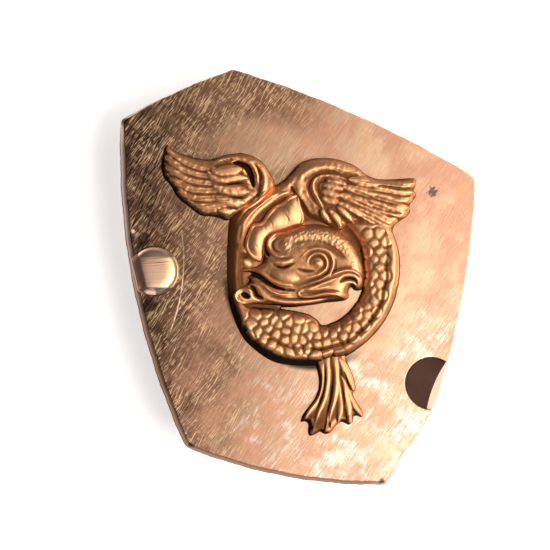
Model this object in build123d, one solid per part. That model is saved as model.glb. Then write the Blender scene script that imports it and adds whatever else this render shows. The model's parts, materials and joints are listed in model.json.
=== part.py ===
from build123d import *
import math
import os

# Cap badge: a coiled, winged sea serpent in raised relief on an untrimmed copper flan.
#
# Row frame, millimetres: +Z points out of the face and +Y is the top of the badge. The
# origin is on the flan's back face, behind the middle of the coil. The relief is made of
# separate overlays sweated on to the flan. A register stud is pressed into the flan's left
# edge and a register socket is sunk in its right edge. Two brazed wire lugs and a split
# pin on the back fasten the badge to a cap.

# ---- flan: six corners joined by bowed sides -------------------------------------------
flan_thickness = 1.6
flan_left = 27.85            # from the origin to the furthest corner on each side
flan_right = 24.05
flan_top = 28.1
flan_bottom = 32.4
left_shoulder_y = 20.65      # the other coordinate of each of those corners
peak_x = -11.5
right_shoulder_y = 12.45
heel_x = 10.8
toe_x = -18.35              # the corner at the lower left
toe_y = -26.85
knee_x = 17.7                # the corner at the lower right
knee_y = -21.6
bow_top_left = 0.4           # how far each side bows outwards at its middle
bow_top_right = 1.3
bow_right = 1.25
bow_lower_right = 0.1
bow_bottom = 1.5
bow_left = 2.9
corner_radius = 0.6
shoulder_radius = 1.1        # the one corner that was eased off more
edge_roll = 0.4              # a sheared edge rolls over on the face side

# ---- register stud and socket, placed along the flan's sides ---------------------------
stud_shank_radius = 2.4      # pressed into a hole that stays clear of the edge
stud_head_radius = 3.65
stud_rise = 0.9              # how far the head stands above the face
stud_inset = 3.4             # from the flan's edge to the stud's centre
stud_place = 0.535           # share of the left side, from the toe upwards
stud_chamfer = 0.25
socket_radius = 3.8
socket_depth = 0.9
socket_inset = 1.6           # from the flan's edge to the socket's centre
socket_place = 0.893         # share of the right side, from the shoulder downwards

# ---- overlays: heights above the flan's face -------------------------------------------
coil_height = 2.4
head_height = 2.9
frill_height = 2.0
wing_height = 2.3
tail_height = 1.7
overlay_bevel = 0.35         # broken top edge of an overlay

coil_centre = (0.2, -1.4)    # outer ellipse of the coil
coil_radii = (12.6, 13.6)
bore_centre = (-1.1, -0.5)   # inner ellipse of the coil, set off centre
bore_radii = (8.6, 8.7)

# ---- lugs, braze and split pin on the back ---------------------------------------------
wire_radius = 0.8
lug_pitch = 24.0             # between the two lugs, along X
lug_centre_x = -1.0          # middle of the pair
lug_line_y = -1.0            # line through both lugs, below the badge's centre of mass
lug_window = 4.4             # clear width inside a lug
lug_drop = 6.2               # clear depth from the flan's back to the cross-bar
lug_bend = 1.5               # centre-line radius of a lug's two bends
lug_socket_depth = 0.9
braze_radius = 1.5
braze_depth = 0.35
pin_radius = 0.9             # of both half-round legs together
pin_leg_gap = 0.06
pin_running_clearance = 0.05
pin_overhang = 4.6           # of the legs past the right lug's centre
pin_splay = 0.8              # how far the end of each leg is sprung outwards
pin_eye_radius = 2.3
pin_neck_radius = 1.8
pin_neck_clearance = 1.6     # from the left lug's centre to the start of the neck

# ---- outlines of the overlays, each with only the points that turn it -------------------
left_wing_points = [
    (-21.2, 17.0), (-18.6, 16.1), (-16.9, 14.9), (-14.9, 14.5), (-12.5, 15.4),
    (-9.8, 15.6), (-7.4, 14.6), (-6.0, 12.6), (-5.8, 10.7), (-8.4, 8.9),
    (-10.8, 7.3), (-12.4, 6.1), (-15.0, 6.6), (-17.4, 7.7), (-19.3, 9.5),
    (-21.2, 11.6), (-21.9, 13.6), (-21.6, 15.5),
]
right_wing_points = [
    (-2.6, 11.2), (-2.9, 12.7), (-1.4, 14.4), (1.2, 15.1), (4.4, 14.6),
    (7.2, 13.1), (10.0, 12.0), (15.0, 12.1), (15.2, 9.8), (14.6, 7.6),
    (12.8, 5.9), (11.2, 5.2), (8.6, 5.3), (6.2, 5.9), (3.9, 5.2),
    (1.4, 6.2), (-0.4, 7.4), (-1.7, 9.3),
]
frill_points = [
    (-2.6, 10.4), (-4.4, 9.9), (-6.4, 8.5), (-8.2, 6.5), (-9.3, 4.2),
    (-9.4, 2.0), (-8.8, 0.4), (-7.5, -0.4), (-6.4, 0.8), (-6.4, 3.4),
    (-5.0, 4.8), (-2.8, 5.6), (-1.9, 7.2), (-1.7, 9.0),
]
head_points = [
    (-10.8, -0.6), (-9.7, 0.8), (-8.2, 0.2), (-7.0, 0.3), (-6.8, 2.4),
    (-6.0, 4.1), (-3.6, 4.9), (-1.0, 5.5), (1.6, 5.4), (4.2, 4.2),
    (6.3, 2.2), (7.5, -0.6), (7.2, -3.3), (5.6, -4.0), (4.6, -5.6),
    (1.2, -6.0), (-3.4, -6.4), (-7.4, -6.2), (-10.4, -6.4), (-11.4, -4.6),
    (-11.0, -2.4),
]
lobe_points = [
    (1.6, -9.4), (0.2, -8.0), (-2.4, -7.0), (-6.0, -6.7), (-9.8, -7.2),
    (-9.4, -9.6), (-4.0, -11.4),
]
tail_points = [
    (0.7, -14.2), (0.9, -17.4), (-0.1, -20.2), (-1.4, -22.0), (-1.8, -23.3),
    (-0.7, -23.1), (-0.6, -25.2), (1.2, -24.9), (2.7, -24.8), (4.2, -23.4),
    (5.3, -23.8), (5.9, -22.5), (7.4, -22.6), (6.6, -20.7), (5.6, -18.9),
    (6.3, -18.6), (5.6, -15.8), (4.9, -13.2), (2.6, -13.0),
]


def closed_curve(points):
    return make_face(Spline(*points, periodic=True))


def closed_outline(points):
    return make_face(Polyline(*points, close=True))


def ellipse_at(centre, radii):
    return Pos(*centre) * Ellipse(*radii)


def largest(outline):
    """The main piece of an outline that its neighbours may have cut in two."""
    return outline.faces().sort_by(SortBy.AREA)[-1]


def raised(outline, height):
    """An overlay that stands on the flan's face."""
    return extrude(Plane.XY.offset(flan_thickness) * outline, height)


def bevelled(overlay):
    """The same overlay with its top edges broken."""
    return chamfer(overlay.faces().sort_by(Axis.Z)[-1].edges(), overlay_bevel)


def flan_sides():
    """The six sides, clockwise from the left shoulder."""
    left_shoulder = (-flan_left, left_shoulder_y)
    peak = (peak_x, flan_top)
    right_shoulder = (flan_right, right_shoulder_y)
    knee = (knee_x, knee_y)
    heel = (heel_x, -flan_bottom)
    toe = (toe_x, toe_y)
    return {
        "top_left": SagittaArc(left_shoulder, peak, bow_top_left),
        "top_right": SagittaArc(peak, right_shoulder, bow_top_right),
        "right": SagittaArc(right_shoulder, knee, bow_right),
        "lower_right": SagittaArc(knee, heel, bow_lower_right),
        "bottom": SagittaArc(heel, toe, bow_bottom),
        "left": SagittaArc(toe, left_shoulder, bow_left),
    }


def inset_point(side, place, inset):
    """A point square to a side, inset into the flan from a share of the side's length."""
    along = side % place
    return side @ place + Vector(along.Y, -along.X, 0) * inset


def corner_edge(block, x, y):
    """The upright edge of the flan at a corner."""
    return block.edges().filter_by(Axis.Z).sort_by_distance((x, y, flan_thickness / 2))[0]


def flan_block():
    """The flan before anything is cut in it."""
    block = extrude(make_face(Wire(list(flan_sides().values()))), flan_thickness)
    sharp = [
        (-flan_left, left_shoulder_y), (peak_x, flan_top), (knee_x, knee_y),
        (heel_x, -flan_bottom), (toe_x, toe_y),
    ]
    block = fillet([corner_edge(block, *corner) for corner in sharp], corner_radius)
    return fillet(corner_edge(block, flan_right, right_shoulder_y), shoulder_radius)


def lug_leg_centres(lug_x):
    reach = lug_window / 2 + wire_radius
    return [(lug_x, lug_line_y - reach), (lug_x, lug_line_y + reach)]


def lug_positions():
    return [lug_centre_x - lug_pitch / 2, lug_centre_x + lug_pitch / 2]


def make_flan(block, stud_centre, socket_centre):
    rolled = block.faces().sort_by(Axis.Z)[-1].edges()
    flan = chamfer(rolled, edge_roll)
    flan -= Pos(stud_centre.X, stud_centre.Y, flan_thickness / 2) * Cylinder(
        stud_shank_radius, flan_thickness * 2
    )
    flan -= Pos(socket_centre.X, socket_centre.Y, flan_thickness) * Cylinder(
        socket_radius, socket_depth * 2
    )
    for lug_x in lug_positions():
        for x, y in lug_leg_centres(lug_x):
            flan -= Pos(x, y, 0) * Cylinder(wire_radius, lug_socket_depth * 2)
            flan -= Pos(x, y, 0) * Cylinder(braze_radius, braze_depth * 2)
    return flan


def make_stud(block, stud_centre):
    """A headed stud in the flan, its chamfered head cut off flush with the flan's edge."""
    shank = Pos(stud_centre.X, stud_centre.Y, flan_thickness / 2) * Cylinder(
        stud_shank_radius, flan_thickness
    )
    head = Cylinder(stud_head_radius, stud_rise)
    head = chamfer(head.faces().sort_by(Axis.Z)[-1].edges(), stud_chamfer)
    head = Pos(stud_centre.X, stud_centre.Y, flan_thickness + stud_rise / 2) * head
    trim = extrude(block.faces().sort_by(Axis.Z)[0], -(flan_thickness + stud_rise))
    return (shank + head) & trim


def make_lug(lug_x):
    """A staple of round wire whose legs stand in blind sockets in the flan's back."""
    low = -(lug_drop + wire_radius)
    (x, left_y), (_, right_y) = lug_leg_centres(lug_x)
    path = FilletPolyline(
        (x, left_y, lug_socket_depth), (x, left_y, low),
        (x, right_y, low), (x, right_y, lug_socket_depth), radius=lug_bend,
    )
    section = Plane(origin=path @ 0, z_dir=path % 0) * Circle(wire_radius)
    return sweep(section, path=path)


def make_braze(lug_x):
    """A ring of braze round each leg, flush with the flan's back."""
    rings = []
    for x, y in lug_leg_centres(lug_x):
        ring = Circle(braze_radius) - Circle(wire_radius)
        rings.append(extrude(Pos(x, y, 0) * ring, braze_depth))
    return Compound(children=rings)


def pin_path(side):
    """Centre of a leg's flat face, from its tip to the neck, on one side of the pin."""
    half_gap = side * pin_leg_gap / 2
    left_lug_x, right_lug_x = lug_positions()
    tip_x = right_lug_x + pin_overhang
    bend_x = right_lug_x + wire_radius
    neck_x = left_lug_x - pin_neck_clearance
    return [(tip_x, half_gap + side * pin_splay), (bend_x, half_gap), (neck_x, half_gap)]


def make_split_pin():
    """Half-round wire doubled back on itself round an open eye."""
    _, (bend_x, half_gap), (neck_x, _) = pin_path(1)
    rise = half_gap + pin_neck_radius
    reach = pin_eye_radius + pin_neck_radius
    eye_x = neck_x - math.sqrt(reach**2 - rise**2)
    share = pin_eye_radius / reach
    touch = (eye_x + (neck_x - eye_x) * share, rise * share)
    neck_turn = math.atan2(neck_x - eye_x, rise)   # how far the wire turns in the neck
    neck_mid = (
        neck_x - pin_neck_radius * math.sin(neck_turn / 2),
        rise - pin_neck_radius * math.cos(neck_turn / 2),
    )
    tip = pin_path(1)[0]
    legs = []
    for side in (1, -1):
        leg = FilletPolyline(
            (tip[0], side * tip[1]), (bend_x, side * half_gap),
            (neck_x, side * half_gap), radius=4 * pin_radius,
        )
        neck = ThreePointArc(
            (neck_x, side * half_gap), (neck_mid[0], side * neck_mid[1]),
            (touch[0], side * touch[1]),
        )
        legs.append((leg, neck))
    eye = ThreePointArc(touch, (eye_x - pin_eye_radius, 0), (touch[0], -touch[1]))
    path = Wire([*legs[0][0].edges(), legs[0][1], eye, legs[1][1], *legs[1][0].edges()])
    start = Plane(origin=path @ 0, x_dir=(0, 0, 1), z_dir=path % 0)
    half_disc = Circle(pin_radius) & Pos(0, pin_radius) * Rectangle(4 * pin_radius, 2 * pin_radius)
    pin = sweep(start * half_disc, path=path)
    return Pos(0, lug_line_y, -(lug_drop - pin_radius - pin_running_clearance)) * pin


def make_parts():
    sides = flan_sides()
    stud_centre = inset_point(sides["left"], stud_place, stud_inset)
    socket_centre = inset_point(sides["right"], socket_place, socket_inset)
    block = flan_block()

    left_wing = closed_curve(left_wing_points)
    right_wing = closed_curve(right_wing_points)
    head = closed_curve(head_points)
    frill = closed_curve(frill_points) - left_wing - right_wing - head
    coil_disc = ellipse_at(coil_centre, coil_radii)
    band = coil_disc - ellipse_at(bore_centre, bore_radii) + closed_curve(lobe_points)
    coil = band - left_wing - right_wing - head - frill
    tail = closed_outline(tail_points) - coil_disc

    parts = {
        "flan_plate": make_flan(block, stud_centre, socket_centre),
        "register_stud": make_stud(block, stud_centre),
        "serpent_coil": raised(largest(coil), coil_height),
        "neck_frill": raised(largest(frill), frill_height),
        "serpent_head": bevelled(raised(head, head_height)),
        "left_wing": bevelled(raised(left_wing, wing_height)),
        "right_wing": bevelled(raised(right_wing, wing_height)),
        "tail_fin": raised(tail, tail_height),
        "split_pin": make_split_pin(),
    }
    for name, lug_x in zip(("left_lug", "right_lug"), lug_positions()):
        parts[name] = make_lug(lug_x)
        parts[name + "_braze"] = make_braze(lug_x)
    print("stud centre", stud_centre, "socket centre", socket_centre)
    return parts


os.makedirs("parts", exist_ok=True)
for name, shape in make_parts().items():
    export_step(shape, f"parts/{name}.step")
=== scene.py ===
# %% [markdown]
# # A struck copper cap badge: a coiled, winged sea serpent on an untrimmed flan
# The badge was struck in one blow of a die, so its relief is a landscape of soft domes,
# ridges and cut lines with sloping (drafted) walls. Each cell below makes one piece or one
# finish. All sizes are real millimetres in the badge's own frame, turned into metres at the end.

# %% The frame
import json
import math
import random
from functools import partial

import bmesh
import bpy
import numpy as np
from mathutils import Matrix, Vector

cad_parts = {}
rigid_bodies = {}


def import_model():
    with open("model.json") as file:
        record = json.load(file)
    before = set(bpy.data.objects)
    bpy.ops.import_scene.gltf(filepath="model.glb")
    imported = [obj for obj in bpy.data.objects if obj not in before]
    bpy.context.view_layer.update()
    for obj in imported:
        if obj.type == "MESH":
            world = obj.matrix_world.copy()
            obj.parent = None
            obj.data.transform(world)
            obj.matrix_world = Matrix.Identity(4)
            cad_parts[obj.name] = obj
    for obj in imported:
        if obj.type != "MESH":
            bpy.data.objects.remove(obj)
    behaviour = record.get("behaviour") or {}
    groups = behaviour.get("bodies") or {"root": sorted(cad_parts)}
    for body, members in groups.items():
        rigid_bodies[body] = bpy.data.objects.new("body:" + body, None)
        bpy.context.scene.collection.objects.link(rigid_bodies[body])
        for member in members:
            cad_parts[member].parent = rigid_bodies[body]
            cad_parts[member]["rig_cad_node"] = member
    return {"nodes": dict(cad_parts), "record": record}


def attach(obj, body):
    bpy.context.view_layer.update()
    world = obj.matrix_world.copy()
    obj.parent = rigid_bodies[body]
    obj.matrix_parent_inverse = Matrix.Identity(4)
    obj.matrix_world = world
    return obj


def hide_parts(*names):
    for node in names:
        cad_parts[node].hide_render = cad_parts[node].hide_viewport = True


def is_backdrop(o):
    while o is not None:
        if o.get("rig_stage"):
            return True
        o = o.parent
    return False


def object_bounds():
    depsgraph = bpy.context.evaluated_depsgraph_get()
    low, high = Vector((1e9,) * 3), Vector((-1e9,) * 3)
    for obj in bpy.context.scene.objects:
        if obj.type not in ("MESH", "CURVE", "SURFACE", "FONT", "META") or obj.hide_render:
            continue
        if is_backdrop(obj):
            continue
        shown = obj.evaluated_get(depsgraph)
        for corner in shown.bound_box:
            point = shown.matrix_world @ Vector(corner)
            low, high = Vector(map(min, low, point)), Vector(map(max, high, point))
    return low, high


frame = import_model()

MM = 0.001
low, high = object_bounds()
FACE = 1.6                     # the flan's face, in mm above its back
FOOT = 0.3                     # how far the relief pieces reach down into the flan
RIM = 0.14                     # how far a piece's grid is kept beyond its outline
STEP = 0.08

# %% [markdown]
# ## Drawing tools for relief
# A die is cut by drawing: outlines, then raised strokes and cut strokes. The same three ideas
# are enough here. A curve runs smoothly through a few points, reach() measures how far every
# spot of a piece is from it, and each stroke adds or takes away a rounded profile.


# %% Curves and distances
def smooth(points, closed=False, steps=5):
    """A curve through the points (Catmull-Rom), as an array of places."""
    p = np.array(points, float)
    if closed:
        p = np.vstack([p[-1], p, p[:2]])
    else:
        p = np.vstack([2 * p[0] - p[1], p, 2 * p[-1] - p[-2]])
    t = np.linspace(0, 1, steps, endpoint=False)[:, None]
    spans = []
    for a, b, c, d in zip(p, p[1:], p[2:], p[3:]):
        spans.append(b + 0.5 * t * (c - a + t * (2 * a - 5 * b + 4 * c - d + t * (3 * (b - c) + d - a))))
    whole = np.vstack(spans)
    return whole if closed else np.vstack([whole, p[-2]])


def reach(curve, x, y):
    """Distance from every spot to the curve, and the share of its length at the nearest place."""
    best, share = np.full(x.shape, 1e9), np.zeros(x.shape)
    lengths = np.hypot(*np.diff(curve, axis=0).T)
    total, run = lengths.sum(), 0.0
    for (ax, ay), (bx, by), length in zip(curve, curve[1:], lengths):
        if length < 1e-9:
            continue
        t = ((x - ax) * (bx - ax) + (y - ay) * (by - ay)) / length**2
        t = np.clip(t, 0, 1)
        d = np.hypot(x - ax - t * (bx - ax), y - ay - t * (by - ay))
        near = d < best
        best = np.where(near, d, best)
        share = np.where(near, (run + t * length) / total, share)
        run += length
    return best, share


def depth_inside(outline, x, y):
    """Distance to a closed outline, positive inside it and negative outside."""
    loop = np.vstack([outline, outline[:1]])
    within = np.zeros(x.shape, bool)
    for (ax, ay), (bx, by) in zip(loop, loop[1:]):
        if ay == by:
            continue
        crosses = (ay > y) != (by > y)
        within ^= crosses & (x < (bx - ax) * (y - ay) / (by - ay) + ax)
    d, _ = reach(loop, x, y)
    return np.where(within, d, -d)


def soften(field, radius):
    """Rounds a height field off, as metal does when it flows into a die."""
    n = max(1, int(2.5 * radius / STEP))
    weights = np.exp(-0.5 * (np.arange(-n, n + 1) * STEP / radius) ** 2)
    weights /= weights.sum()
    for axis in (0, 1):
        pad = [(n, n) if a == axis else (0, 0) for a in (0, 1)]
        wide = np.pad(field, pad, mode="edge")
        size = field.shape[axis]
        field = sum(w * np.take(wide, range(i, i + size), axis) for i, w in enumerate(weights))
    return field


def grain(x, radius, depth, seed):
    """The small unevenness of a hand-cut die, with blobs of about the given radius."""
    rough = soften(np.random.default_rng(seed).normal(size=x.shape), radius)
    return rough / rough.std() * depth


def barbs(x, y, hub, number, depth):
    """Fine lines that fan out from a hub, as the barbs of feathers do."""
    turn = np.arctan2(y - hub[1], x - hub[0]) % math.tau
    away = np.hypot(x - hub[0], y - hub[1])
    return depth * np.sin(turn * number + 0.5 * np.sin(away * 1.3) + 2.0 * np.sin(turn * 9))


def taper(share, ends="both"):
    """How full a stroke is along its length: both ends thin, one end thin, or full all along."""
    if ends == "both":
        return np.sqrt(np.clip(np.sin(np.pi * np.clip(share, 0, 1)), 0, 1))
    if ends == "last":
        return np.sqrt(np.clip(1 - share, 0, 1))
    if ends == "first":
        return np.sqrt(np.clip(share, 0, 1))
    return np.ones(share.shape)


def alike(kind, width, lift, *curves):
    """Strokes that differ only in where they run."""
    return [(kind, width, lift, points) for points in curves]


def draw(field, x, y, strokes):
    """Adds each stroke (kind, half width, lift, points, and ends if not both) in order."""
    ground = field.copy()
    for kind, width, lift, points, *ends in strokes:
        d, share = reach(smooth(points), x, y)
        full = taper(share, *ends)
        u = np.clip(d / (width * np.maximum(full, 0.05)), 0, 1)
        if kind == "leaf":      # a feather or scale with a crisp edge, standing on the ground
            field = np.where(u < 1, np.maximum(field, ground + lift * np.sqrt(1 - u**2)), field)
        elif kind == "carve":   # a slit cut right down to the height given as its lift
            share = np.clip(1.7 * (1 - u**2), 0, 1)
            field = field * (1 - share) + np.minimum(field, lift) * share
        else:                   # a rounded ridge, or a cut line when the lift is negative
            field = field + lift * (1 - u**2) ** 2 * full
    return field


# %% [markdown]
# ## From a height field to a piece
# Each piece of relief starts as a bmesh grid over its own outline. The grid's vertices are
# lifted to the drawn heights, and faces outside the outline are cut away. The foot of the
# drafted wall sinks just under the flan's face, so the metal surfaces meet in a clean line.
# The rim is then extruded down into the flan and closed by a floor, so the piece is solid.
# The same cell stores how hollow each spot is, which the patina later settles into, and how far its wall
# faces away from the light, which gets painted shade.


# %% Making a relief piece
def wall(depth, height, draft):
    """Height of a rounded, drafted wall: steep at the foot, flat at the top."""
    s = np.clip(depth / draft, 0, 1)
    top = height * (1 - (1 - s) ** 2)
    return np.where(depth > 0, top, np.maximum(2 * height / draft * depth, -0.25))


def relief_piece(name, outline, shape, node, step=STEP, polish=0.0, patina_and_shade=None):
    """A grid over the outline, lifted by shape(x, y, depth), which replaces a CAD node."""
    lo, hi = outline.min(0) - 0.4, outline.max(0) + 0.4
    nx, ny = (int(round(v)) for v in (hi - lo) / step)
    bm = bmesh.new()
    bmesh.ops.create_grid(bm, x_segments=nx, y_segments=ny, size=0.5)
    bm.verts.ensure_lookup_table()
    co = np.array([v.co for v in bm.verts])
    x = lo[0] + (co[:, 0] + 0.5) * (hi[0] - lo[0])
    y = lo[1] + (co[:, 1] + 0.5) * (hi[1] - lo[1])
    order = np.lexsort((co[:, 0].round(6), co[:, 1].round(6)))
    gx, gy = x[order].reshape(ny + 1, nx + 1), y[order].reshape(ny + 1, nx + 1)
    depth = depth_inside(outline, gx, gy)
    field = shape(gx, gy, depth)
    hollow = 0.4 + (soften(field, 0.35) - field) / 0.4 + 0.5 * (soften(field, 1.2) - field) / 0.9
    # darker on low ground, and painted shade on the walls that face down and to the left, away from the light
    rise_y, rise_x = np.gradient(field, step)
    shaded = np.clip(0.8 * rise_x + 0.6 * rise_y, 0, 1.3) * np.clip(1.8 - depth, 0, 1)
    tone = np.clip(hollow + 1.1 * shaded + 0.3 * np.clip(1 - field / 0.8, 0, 1) - polish, 0, 1.8)
    if patina_and_shade:
        tone = patina_and_shade(gx, gy, depth, tone)
    # the metal did not fill the die's finest lines, so the drawing stands lower than it was cut
    ease = (0.42 + 0.3 * polish) * np.clip(depth / 0.7, 0, 1)
    field = np.where(field > 0.05, field + ease * (soften(field, 0.8) - field), field)
    bm_tone = bm.verts.layers.float.new("tone")
    for i, v in enumerate(order):
        vert = bm.verts[v]
        r, c = divmod(i, nx + 1)
        vert.co = Vector((gx[r, c] * MM, gy[r, c] * MM, (FACE + field[r, c]) * MM))
        vert[bm_tone] = tone[r, c]
    outside = [bm.verts[v] for i, v in enumerate(order) if depth.flat[i] < -RIM]
    bmesh.ops.delete(bm, geom=outside, context="VERTS")
    # close it: the rim goes down a little into the flan, and a floor fills the loop
    rim = [edge for edge in bm.edges if edge.is_boundary]
    foot = bmesh.ops.extrude_edge_only(bm, edges=rim)["geom"]
    for part in foot:
        if isinstance(part, bmesh.types.BMVert):
            part.co.z = (FACE - FOOT) * MM
    loop = [part for part in foot if isinstance(part, bmesh.types.BMEdge)]
    bmesh.ops.holes_fill(bm, edges=loop, sides=0)
    bmesh.ops.recalc_face_normals(bm, faces=bm.faces)
    return finish_piece(name, bm, node)


def finish_piece(name, bm, *nodes):
    """Turns a bmesh into a smooth-shaded object that rides on the badge."""
    mesh = bpy.data.meshes.new(name)
    bm.to_mesh(mesh)
    bm.free()
    mesh.shade_smooth()
    obj = bpy.data.objects.new(name, mesh)
    bpy.context.scene.collection.objects.link(obj)
    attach(obj, "badge")
    if nodes:
        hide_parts(*nodes)
    co = np.array([v.co for v in mesh.vertices]) / MM
    print(name, "faces", len(mesh.polygons), "from", co.min(0).round(2), "to", co.max(0).round(2))
    return obj


# %% [markdown]
# ## The coil
# The serpent's body is a ring that is thicker at the lower left. Its rounded scales were
# punched one by one, in staggered rows. Here the rows follow the ring, each centre is a little
# out of true, and a scale is the ground nearer to its own centre than to any other. A smooth,
# wavy crest runs round the outside.

# %% The coil
COIL_OUTER = smooth([
    (-11.9, 6.5), (-12.3, 3), (-12.4, 0), (-12.35, -3), (-12, -6), (-11.2, -8.6), (-10, -11),
    (-8, -13), (-5.5, -14.5), (-2.5, -15), (0.5, -15), (2.7, -14.4), (5, -13.6), (7.5, -11.9),
    (9.6, -9.8), (11.3, -7.2), (12.3, -4.5), (12.8, -1.5), (12.7, 1), (12.2, 3), (11, 5.6),
    (8.6, 8.6), (5.6, 10.6), (2, 11.4), (-1.5, 11.2), (-4, 11.4), (-6.6, 10.8), (-9.6, 8.8),
], closed=True, steps=4)
COIL_INNER = smooth([
    (7.2, 0), (7.3, -3), (6.8, -5), (5.8, -6.6), (4, -8.2), (2.6, -8.9), (1.5, -9.1),
    (0.8, -8.3), (-0.6, -7.5), (-2.5, -7), (-5, -6.8), (-8, -6.6), (-9.8, -6.0), (-10.2, -3.4),
    (-10.2, -0.5), (-9.7, 2.6), (-8.7, 5.2), (-6.8, 7.4), (-4.4, 8.9), (-2, 9.2), (1, 8),
    (4, 6), (6, 3.6), (7, 1.6),
], closed=True, steps=4)
BARE_CRESCENT = smooth([
    (7.0, -3.4), (7.2, -4.2), (6.7, -5.4), (5.7, -6.8), (4.1, -8.2), (2.6, -8.95), (1.4, -9.2),
    (0.7, -8.4), (-0.6, -7.6), (-2.6, -7.1), (-4.6, -6.7), (-3, -5.6), (2, -4.6), (5.2, -3.4),
], closed=True, steps=4)
COIL_HEIGHT = 2.05


def scale_centres():
    """Places and heights of the scales, in rows from the right wing round to the lower left."""
    rng = random.Random(11)
    middle = smooth([
        (9.3, 4.3), (9.5, 1.5), (9.3, -1.5), (9, -4.3), (7.9, -7), (6.2, -9.2), (4, -10.9),
        (1.4, -11.7), (-1.5, -11.2), (-4.4, -10.2), (-7, -9.2), (-9, -8.4),
    ], steps=12)
    half_width = np.interp(np.linspace(0, 1, len(middle)), [0, 0.45, 0.62, 0.8, 1], [1.3, 1.3, 1.5, 2.5, 1.4])
    along = np.gradient(middle, axis=0)
    along /= np.hypot(*along.T)[:, None]
    travelled = np.r_[0, np.cumsum(np.hypot(*np.diff(middle, axis=0).T))]
    places, s, odd = [], 0.3, False
    while s < travelled[-1] - 0.3:
        at = np.array([np.interp(s, travelled, middle[:, k]) for k in (0, 1)])
        way = np.array([np.interp(s, travelled, along[:, k]) for k in (0, 1)])
        half = np.interp(s, travelled, half_width)
        across = np.arange(-half, half + 0.01, 1.45) + (0.72 if odd else 0)
        for c in across:
            jitter = [rng.uniform(-0.27, 0.27) for _ in range(2)]
            place = at + np.array([-way[1], way[0]]) * (c + jitter[0]) + way * jitter[1]
            places.append((place[0], place[1], rng.uniform(0.35, 0.8)))
        s, odd = s + 1.2, not odd
    return places


def coil_shape(x, y, depth):
    inner = -depth_inside(COIL_INNER, x, y)
    bare = -depth_inside(BARE_CRESCENT, x, y)
    field = wall(depth, COIL_HEIGHT, np.where(x > 3, 1.2, np.where(y > -5, 2.6, 1.9)))
    # inside the ring the ground stays above the flan, save for one bare crescent
    field = np.minimum(field, np.maximum(wall(inner, COIL_HEIGHT - 0.25, 1.3), 0.45))
    field = np.minimum(field, wall(bare, COIL_HEIGHT, 1.3))
    # a scale is the ground that is nearer to its centre than to any other scale's
    near, second, lift = (np.full(x.shape, v) for v in (99.0, 99.0, 0.0))
    for sx, sy, tall in scale_centres():
        away = np.hypot(x - sx, y - sy)
        second = np.where(away < near, near, np.minimum(second, away))
        lift = np.where(away < near, tall, lift)
        near = np.minimum(near, away)
    scales = lift * np.sqrt(np.clip((second - near) / 0.6, 0, 1)) * np.clip(4 * (1.15 - near), 0, 1)
    scales *= np.clip(inner / 0.3, 0, 1)
    field = draw(field - 0.4 * (scales > 0) + scales, x, y, [
        ("ridge", 0.95, 0.4, [(10.9, 5.6), (11.7, 3), (11.9, 1), (11.7, -0.6), (11.85, -2.2),
            (11.3, -3.8), (11.2, -5.4), (10.4, -6.9), (9.9, -8.2), (8.5, -9.6), (7.6, -10.9),
            (5.9, -11.9), (4.6, -12.9), (2.6, -13.2), (0.8, -13.8), (-1.4, -13.5), (-3.2, -13.6),
            (-5.2, -12.8), (-7, -12.1), (-8.8, -10.6), (-10, -9.2)], "full"),
        ("cut", 0.36, -0.5, [(10.2, 4.8), (10.6, 3), (10.8, 1), (10.55, -0.6), (10.7, -2.4), (10.1, -4.2),
            (9.9, -5.8), (9, -7.4), (8.1, -8.8), (6.6, -10.2), (5.2, -11.4), (3, -12.2), (0.8, -12.7),
            (-1.4, -12.4), (-3.4, -12.4), (-5.4, -11.6), (-7.6, -10.8), (-9, -9.4)]),
        # the left side of the ring: a rolled edge, a crease and a few folds
        ("ridge", 0.6, 0.15, [(-10.9, 5.6), (-11.1, 3), (-11.2, 0), (-11.1, -3), (-10.6, -6)]),
        ("cut", 0.3, -0.5, [(-10.3, 5.4), (-10.6, 3.6), (-10.7, 2.6)]),
        ("cut", 0.34, -0.6, [(-10.6, -0.9), (-10.6, -2.4), (-10.3, -3.6)]),
        # hair on the neck, between the left wing's root and the coil
        ("ridge", 0.5, 0.45, [(-11.2, 5.6), (-10.2, 7.4), (-8.4, 8.6), (-6.3, 10.3)]),
        ("ridge", 0.45, 0.4, [(-10.2, 5.2), (-9, 6.9), (-7.4, 8.3), (-5.4, 9.9)]),
        ("ridge", 0.5, 0.4, [(-9.4, 4.8), (-8, 6.9), (-6, 8.6), (-3.6, 10.2)]),
        *alike("cut", 0.3, -0.4, [(-10.9, 5.2), (-9.7, 7.1), (-7.9, 8.4), (-5.8, 10.3)], [(-9.9, 4.8),
            (-8.4, 7), (-6.6, 8.5), (-4.4, 10.1)]),
        # the swelling knobs on the left of the neck
        ("ridge", 0.75, 0.5, [(-10.9, 2.4), (-10.1, 1.8), (-9.5, 1.2)]),
        ("ridge", 0.7, 0.4, [(-10.4, 0.3), (-9.6, -0.1), (-8.9, -0.6)]),
        ("cut", 0.4, -0.45, [(-11, 1.3), (-10.2, 0.9), (-9.3, 0.6)]),
    ])
    under_wing = np.clip((x + 3.6) / 1.0, 0, 1) * np.clip((y - 5.4) / 0.8, 0, 1)
    field = field * (1 - 0.62 * under_wing) + grain(x, 0.22, 0.018, 1)
    edge = np.minimum(depth, bare)
    field = np.where(edge > 0, np.maximum(field, 0.15), wall(edge, COIL_HEIGHT, 1.3))
    return soften(field, 0.11)


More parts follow.
